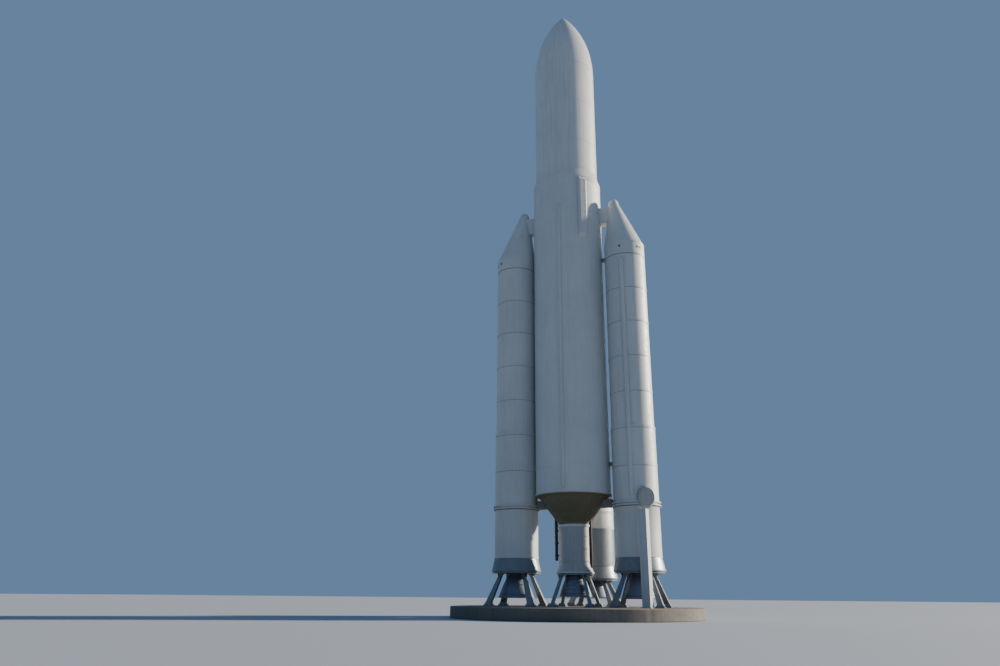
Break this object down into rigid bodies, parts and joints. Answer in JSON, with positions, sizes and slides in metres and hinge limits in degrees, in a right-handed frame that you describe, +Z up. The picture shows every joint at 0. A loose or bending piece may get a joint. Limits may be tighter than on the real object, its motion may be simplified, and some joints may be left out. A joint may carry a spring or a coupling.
{
  "type": "scale model of a space launch rocket on a display plinth",
  "caption": "Upright launch rocket with strap-on boosters and swivelling engine nozzles, standing on splayed legs on a round concrete plinth; half-size model.",
  "frame": {"origin": "centre of the plinth's underside", "axes": "+Z up along the core stage, +X towards the right booster as seen from the front, -Y the front that the picture shows"},
  "size_m": [8.65, 8.65, 25.2503],
  "materials": {
    "core_white": "weathered white gloss paint with faint rain streaks",
    "booster_white": "weathered white paint over rolled steel cases",
    "fairing_white": "satin white paint over composite half shells",
    "raceway_paint": "white paint over pressed sheet covers",
    "skirt_grey": "dull grey paint, streaked",
    "shroud_paint": "light grey paint, streaked",
    "cone_dark": "dark brown-grey insulation coat",
    "nozzle_metal": "heat-darkened blue-grey metal",
    "gimbal_steel": "bare steel, dull",
    "stand_steel": "light painted steel with rust at the feet",
    "concrete": "cast concrete, trowelled and stained"
  },
  "bodies": {
    "root": {"concrete_plinth": "concrete", "stand_centre": "stand_steel", "stand_left": "stand_steel", "stand_right": "stand_steel", "stand_rear": "stand_steel", "core_aft_skirt": "core_white", "core_main_tank": "core_white", "core_forward_skirt": "core_white", "fairing_adapter": "fairing_white", "fairing_front_half": "fairing_white", "fairing_rear_half": "fairing_white", "core_front_raceway": "raceway_paint", "core_side_raceway": "raceway_paint", "thrust_cone": "cone_dark", "engine_shroud": "shroud_paint", "engine_block": "gimbal_steel", "main_gimbal_mount": "gimbal_steel", "rear_column_base": "skirt_grey", "rear_column_case": "booster_white", "rear_column_cone": "nozzle_metal", "rear_strut": "cone_dark", "cable_trunk": "raceway_paint", "left_booster_skirt": "skirt_grey", "left_booster_aft_case": "booster_white", "left_booster_lower_case": "booster_white", "left_booster_middle_case": "booster_white", "left_booster_upper_case": "booster_white", "left_booster_nose": "booster_white", "left_booster_raceway": "raceway_paint", "left_booster_pod": "booster_white", "left_forward_attachment": "booster_white", "left_middle_tie": "gimbal_steel", "left_lower_tie": "gimbal_steel", "left_aft_strut": "cone_dark", "left_gimbal_mount": "gimbal_steel", "right_booster_skirt": "skirt_grey", "right_booster_aft_case": "booster_white", "right_booster_lower_case": "booster_white", "right_booster_middle_case": "booster_white", "right_booster_upper_case": "booster_white", "right_booster_nose": "booster_white", "right_booster_raceway": "raceway_paint", "right_booster_pod": "booster_white", "right_forward_attachment": "booster_white", "right_middle_tie": "gimbal_steel", "right_lower_tie": "gimbal_steel", "right_aft_strut": "cone_dark", "right_gimbal_mount": "gimbal_steel"},
    "main_gimbal_ring": {"main_gimbal_ring": "gimbal_steel"},
    "main_nozzle": {"main_nozzle": "nozzle_metal"},
    "left_gimbal_ring": {"left_gimbal_ring": "gimbal_steel"},
    "left_nozzle": {"left_nozzle": "nozzle_metal"},
    "right_gimbal_ring": {"right_gimbal_ring": "gimbal_steel"},
    "right_nozzle": {"right_nozzle": "nozzle_metal"}
  },
  "joints": [
    {"name": "main_engine_pitch", "type": "hinge", "parent": "root", "child": "main_gimbal_ring", "pos_m": [0, 0, 1.9], "axis": [0.7071, 0.7071, 0], "range_deg": [-6, 6]},
    {"name": "main_engine_yaw", "type": "hinge", "parent": "main_gimbal_ring", "child": "main_nozzle", "pos_m": [0, 0, 1.9], "axis": [-0.7071, 0.7071, 0], "range_deg": [-6, 6]},
    {"name": "left_engine_pitch", "type": "hinge", "parent": "root", "child": "left_gimbal_ring", "pos_m": [-2.165, 0, 1.875], "axis": [0.7071, 0.7071, 0], "range_deg": [-6, 6]},
    {"name": "left_engine_yaw", "type": "hinge", "parent": "left_gimbal_ring", "child": "left_nozzle", "pos_m": [-2.165, 0, 1.875], "axis": [-0.7071, 0.7071, 0], "range_deg": [-6, 6]},
    {"name": "right_engine_pitch", "type": "hinge", "parent": "root", "child": "right_gimbal_ring", "pos_m": [2.25, 0, 1.875], "axis": [0.7071, 0.7071, 0], "range_deg": [-6, 6]},
    {"name": "right_engine_yaw", "type": "hinge", "parent": "right_gimbal_ring", "child": "right_nozzle", "pos_m": [2.25, 0, 1.875], "axis": [-0.7071, 0.7071, 0], "range_deg": [-6, 6]}
  ]
}
